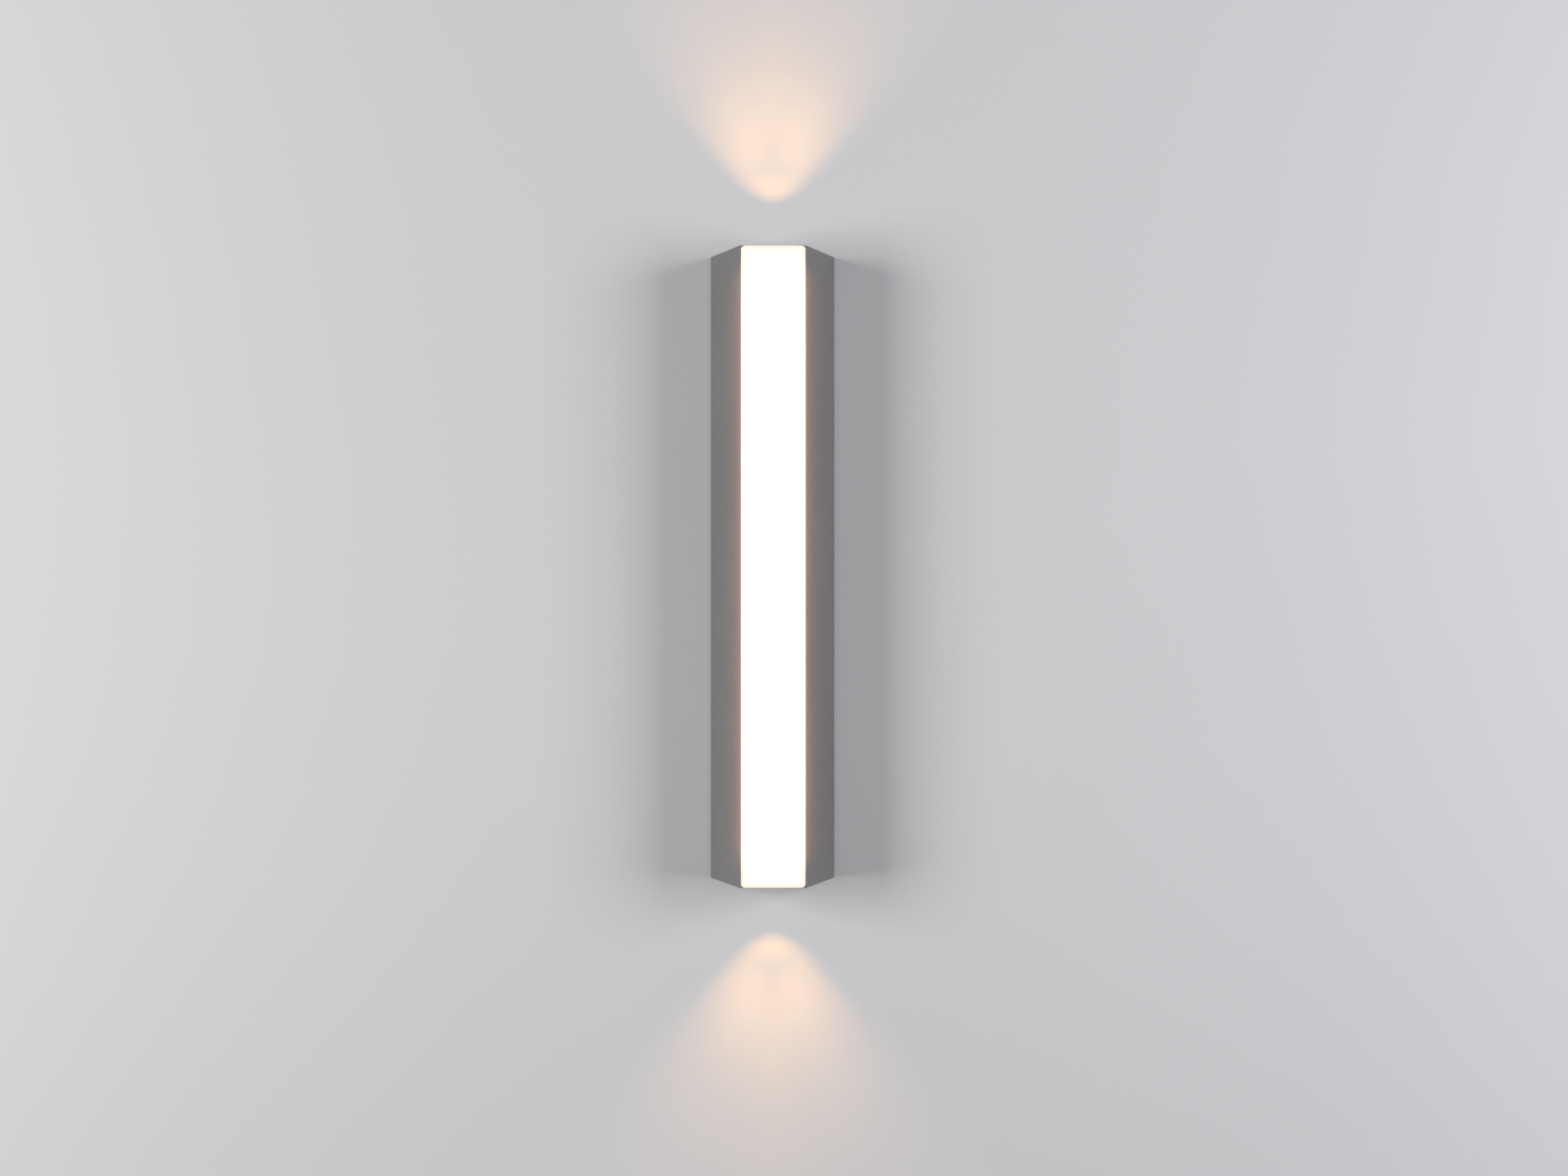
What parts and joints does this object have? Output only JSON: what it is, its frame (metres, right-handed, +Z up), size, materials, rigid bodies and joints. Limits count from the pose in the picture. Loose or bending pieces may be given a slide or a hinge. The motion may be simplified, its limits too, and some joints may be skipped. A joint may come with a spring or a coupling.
{
  "type": "outdoor wall light",
  "caption": "Slim tapered outdoor wall light with a lit opal strip along its front and a spot in each end that washes the wall, hung on a steel wall bracket.",
  "frame": {"origin": "centre of the two wall fixing slots, on the wall", "axes": "+Z up along the light, +Y into the wall, -Y towards the viewer, +X to the viewer's right"},
  "size_m": [0.0896, 0.057, 0.45],
  "materials": {
    "grey_powder_coat": "satin mid-grey powder coat",
    "opal_acrylic": "opal acrylic, lit from behind",
    "clear_glass": "clear tempered glass",
    "clear_lens": "clear moulded lens",
    "zinc_steel": "zinc-plated steel sheet",
    "stainless": "stainless screw steel",
    "bare_aluminium": "bare rolled aluminium",
    "white_board": "white solder mask",
    "light_chip": "yellow phosphor",
    "green_board": "green solder mask",
    "black_plastic": "black moulded plastic",
    "white_plastic": "white moulded plastic",
    "ferrite": "dark ferrite and tape",
    "can_sleeve": "blue-black sleeve",
    "brass": "bright brass",
    "grey_silicone": "grey silicone",
    "black_rubber": "black rubber",
    "black_foam": "black closed-cell foam",
    "brown_wire": "brown insulation",
    "blue_wire": "blue insulation",
    "earth_wire": "green and yellow insulation",
    "red_wire": "red insulation",
    "black_wire": "black insulation"
  },
  "bodies": {
    "wall_bracket": {"wall_bracket": "zinc_steel"},
    "top_securing_screw": {"top_securing_screw": "stainless"},
    "bottom_securing_screw": {"bottom_securing_screw": "stainless"},
    "light_body": {"wall_seal": "black_foam", "housing_profile": "grey_powder_coat", "end_cap_screws": "stainless", "securing_nuts": "stainless", "back_plate": "bare_aluminium", "back_plate_seal": "grey_silicone", "back_plate_screws": "stainless", "cable_grommet": "black_rubber", "front_diffuser": "opal_acrylic", "diffuser_seals": "grey_silicone", "front_led_board": "white_board", "front_leds": "light_chip", "front_board_screws": "stainless", "driver_case": "black_plastic", "driver_cover": "black_plastic", "driver_circuit_board": "green_board", "driver_transformer": "ferrite", "driver_capacitors": "can_sleeve", "driver_screws": "stainless", "terminal_block": "white_plastic", "terminal_clamps": "brass", "terminal_clamp_screws": "stainless", "terminal_fixing_screws": "stainless", "earth_tag": "brass", "earth_screw": "stainless", "earth_wire": "earth_wire", "live_wire": "brown_wire", "neutral_wire": "blue_wire", "positive_leads": "red_wire", "negative_leads": "black_wire", "top_end_cap": "grey_powder_coat", "top_cap_seal": "grey_silicone", "top_spot_window": "clear_glass", "top_spot_window_seal": "grey_silicone", "top_spot_lens_holder": "black_plastic", "top_spot_lens": "clear_lens", "top_spot_led": "light_chip", "top_spot_led_board": "white_board", "top_spot_heat_plate": "bare_aluminium", "top_spot_screws": "stainless", "bottom_end_cap": "grey_powder_coat", "bottom_cap_seal": "grey_silicone", "bottom_spot_window": "clear_glass", "bottom_spot_window_seal": "grey_silicone", "bottom_spot_lens_holder": "black_plastic", "bottom_spot_lens": "clear_lens", "bottom_spot_led": "light_chip", "bottom_spot_led_board": "white_board", "bottom_spot_heat_plate": "bare_aluminium", "bottom_spot_screws": "stainless"}
  },
  "joints": [
    {"name": "body_lift_off", "type": "slide", "parent": "wall_bracket", "child": "light_body", "axis": [0, -1, 0], "range_m": [0, 0.08]},
    {"name": "top_screw_turn", "type": "hinge", "parent": "light_body", "child": "top_securing_screw", "pos_m": [0, -0.0065, 0.2247], "axis": [0, 0, 1], "range_deg": [0, 1080]},
    {"name": "bottom_screw_turn", "type": "hinge", "parent": "light_body", "child": "bottom_securing_screw", "pos_m": [0, -0.0065, -0.2247], "axis": [0, 0, -1], "range_deg": [0, 1080]}
  ]
}
